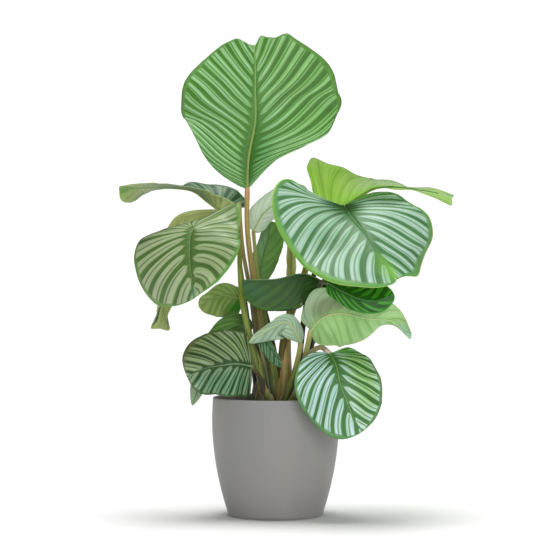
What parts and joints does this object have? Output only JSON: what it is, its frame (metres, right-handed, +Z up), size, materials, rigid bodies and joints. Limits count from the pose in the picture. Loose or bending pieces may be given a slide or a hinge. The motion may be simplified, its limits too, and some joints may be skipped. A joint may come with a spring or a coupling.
{
  "type": "potted plant",
  "caption": "Potted calathea with broad round silver-striped leaves on slender stalks, standing in a plain grey round pot of potting mix.",
  "frame": {"origin": "centre of the pot's flat base, on the floor", "axes": "+Z up along the pot's axis; -Y towards the viewer of the picture; +X to the viewer's right"},
  "size_m": [0.4769, 0.258, 0.6836],
  "materials": {
    "grey_pot": "matte",
    "potting_mix": "rough",
    "green_stripes": "satin",
    "silver_stripes": "satin",
    "pale_back": "satin",
    "dark_back": "satin"
  },
  "bodies": {
    "root": {"pot": "grey_pot", "soil": "potting_mix", "crown_leaf": "green_stripes", "left_reaching_leaf": "dark_back", "left_front_leaf": "green_stripes", "right_front_leaf": "silver_stripes", "right_back_leaf": "pale_back", "back_small_leaf": "pale_back", "back_upright_leaf": "dark_back", "left_drooping_leaf": "dark_back", "middle_folded_leaf": "dark_back", "unfurling_leaf": "dark_back", "right_shaded_leaf": "green_stripes", "right_arching_leaf": "pale_back", "middle_pale_leaf": "pale_back", "small_striped_leaf": "green_stripes", "low_left_leaf": "green_stripes", "low_back_leaf": "dark_back", "left_olive_leaf": "dark_back", "low_right_leaf": "silver_stripes"}
  },
  "joints": []
}
